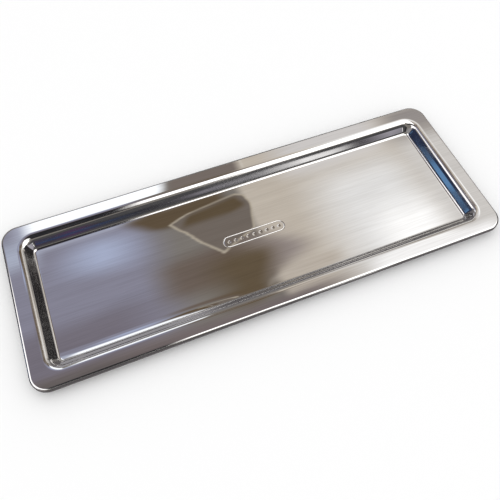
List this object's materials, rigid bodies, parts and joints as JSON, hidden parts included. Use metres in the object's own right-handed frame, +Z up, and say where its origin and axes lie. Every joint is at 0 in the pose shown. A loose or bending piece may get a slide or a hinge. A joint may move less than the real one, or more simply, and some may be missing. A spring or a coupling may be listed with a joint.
{
  "type": "pill counting tray",
  "caption": "Shallow oblong tray pressed from one stainless steel sheet, with a flat rim, turned-down lip, sloping walls and a flat brushed floor.",
  "frame": {"origin": "centre of the underside of the floor, the face the tray rests on", "axes": "+X along the tray's length, +Y across it, +Z up out of the well"},
  "size_m": [0.3, 0.111, 0.008],
  "materials": {
    "steel": "floor and rim brushed along the length, bends and walls bright"
  },
  "bodies": {
    "root": {"tray": "steel"}
  },
  "joints": []
}
